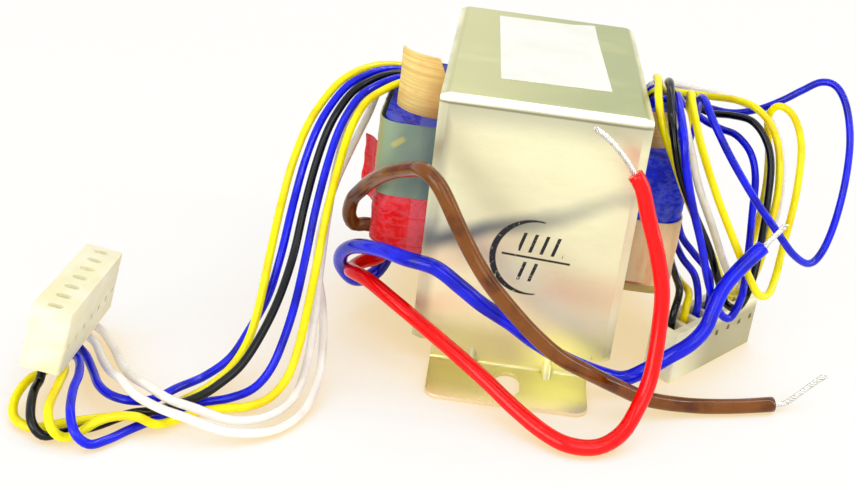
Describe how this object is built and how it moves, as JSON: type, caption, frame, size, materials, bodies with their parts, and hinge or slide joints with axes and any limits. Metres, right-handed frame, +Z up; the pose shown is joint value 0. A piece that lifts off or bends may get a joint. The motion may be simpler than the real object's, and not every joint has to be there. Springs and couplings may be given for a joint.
{
  "type": "chassis-mount mains transformer",
  "caption": "Mains transformer with an E-I core in a folded steel clamp with slotted feet, a two-section coil, thick primary leads and bundles of thin leads that end in crimp connectors.",
  "frame": {"origin": "on the mounting surface, midway between the two slots in the feet", "axes": "+X along the stack towards the right-hand leads, +Y from the front foot to the back foot, +Z up out of the mounting surface"},
  "size_m": [0.1435, 0.1115, 0.0559],
  "materials": {
    "tinned_steel": "satin tin plate",
    "core_steel": "varnished silicon steel sheets",
    "bobbin_plastic": "natural moulded nylon",
    "enamelled_copper": "enamelled copper wire",
    "red_tape": "glossy film tape",
    "blue_tape": "glossy film tape",
    "clear_film": "milky film",
    "cream_paper": "insulating paper",
    "kraft_paper": "stiff kraft paper",
    "white_label": "blank paper label",
    "brown_insulation": "semi-gloss vinyl",
    "blue_insulation": "semi-gloss vinyl",
    "red_insulation": "semi-gloss vinyl",
    "yellow_insulation": "semi-gloss vinyl",
    "black_insulation": "semi-gloss vinyl",
    "white_insulation": "semi-gloss vinyl",
    "tinned_copper": "tinned twisted strands",
    "housing_nylon": "moulded nylon",
    "terminal_brass": "tinned brass"
  },
  "bodies": {
    "root": {"clamp_frame": "tinned_steel", "e_laminations": "core_steel", "i_laminations": "core_steel", "bobbin": "bobbin_plastic", "primary_winding": "enamelled_copper", "secondary_winding": "enamelled_copper", "primary_tape": "red_tape", "secondary_tape": "blue_tape", "film_wrap": "clear_film", "paper_wrap": "cream_paper", "tape_tail": "red_tape", "left_cuff": "kraft_paper", "right_cuff": "kraft_paper", "top_label": "white_label", "brown_lead": "brown_insulation", "blue_lead": "blue_insulation", "red_lead": "red_insulation", "brown_strands": "tinned_copper", "blue_strands": "tinned_copper", "red_strands": "tinned_copper", "left_yellow_lead_1": "yellow_insulation", "left_yellow_lead_2": "yellow_insulation", "left_black_lead": "black_insulation", "left_blue_lead_1": "blue_insulation", "left_blue_lead_2": "blue_insulation", "left_white_lead_1": "white_insulation", "left_white_lead_2": "white_insulation", "right_yellow_lead_1": "yellow_insulation", "right_yellow_lead_2": "yellow_insulation", "right_black_lead": "black_insulation", "right_blue_lead_1": "blue_insulation", "right_blue_lead_2": "blue_insulation", "right_white_lead_1": "white_insulation", "right_white_lead_2": "white_insulation", "left_housing": "housing_nylon", "right_housing": "housing_nylon", "left_terminals": "terminal_brass", "right_terminals": "terminal_brass"}
  },
  "joints": []
}
